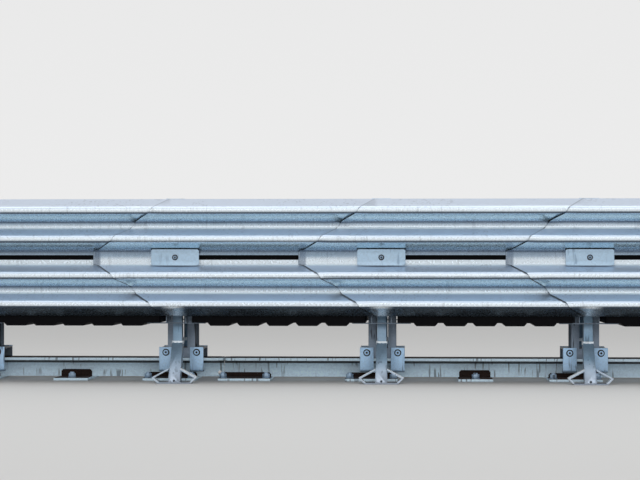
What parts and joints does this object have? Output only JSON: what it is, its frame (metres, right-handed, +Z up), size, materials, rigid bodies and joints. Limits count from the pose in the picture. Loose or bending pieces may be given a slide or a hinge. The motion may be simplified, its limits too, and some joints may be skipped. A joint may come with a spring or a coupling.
{
  "type": "telescoping guardrail section of a crash cushion",
  "caption": "Free-standing double-sided guardrail run: lapped corrugated steel panels on splayed cross frames over a ground rail, with black cartridges between the frames.",
  "frame": {"origin": "on the floor at the rail's centre line, under the middle cross frame", "axes": "+X along the run, away from the panels' chevron ends; Y across it, the shown side at -Y; +Z up"},
  "size_m": [4.173, 0.7672, 0.8195],
  "materials": {
    "panel_steel": "galvanized, spangled",
    "frame_steel": "galvanized, dull, some rust",
    "rail_steel": "galvanized, dirty and rusty at the foot",
    "cover_steel": "galvanized, bright",
    "cartridge": "black moulded plastic"
  },
  "bodies": {
    "root": {"rail_section_1": "rail_steel", "rail_section_2": "rail_steel", "front_slot_covers": "cover_steel", "back_slot_covers": "cover_steel", "front_slot_bolts": "cover_steel", "back_slot_bolts": "cover_steel", "cross_frame_1": "frame_steel", "guide_posts_1": "frame_steel", "rail_guides_1": "frame_steel", "front_leg_1": "frame_steel", "back_leg_1": "frame_steel", "cross_frame_2": "frame_steel", "guide_posts_2": "frame_steel", "rail_guides_2": "frame_steel", "front_leg_2": "frame_steel", "back_leg_2": "frame_steel", "cross_frame_3": "frame_steel", "guide_posts_3": "frame_steel", "rail_guides_3": "frame_steel", "front_leg_3": "frame_steel", "back_leg_3": "frame_steel", "cross_frame_4": "frame_steel", "guide_posts_4": "frame_steel", "rail_guides_4": "frame_steel", "front_leg_4": "frame_steel", "back_leg_4": "frame_steel", "cross_frame_5": "frame_steel", "guide_posts_5": "frame_steel", "rail_guides_5": "frame_steel", "front_leg_5": "frame_steel", "back_leg_5": "frame_steel", "front_panel_1": "panel_steel", "back_panel_1": "panel_steel", "cartridge_1": "cartridge", "front_panel_2": "panel_steel", "back_panel_2": "panel_steel", "cartridge_2": "cartridge", "front_panel_3": "panel_steel", "back_panel_3": "panel_steel", "cartridge_3": "cartridge", "front_panel_4": "panel_steel", "back_panel_4": "panel_steel", "cartridge_4": "cartridge"}
  },
  "joints": []
}
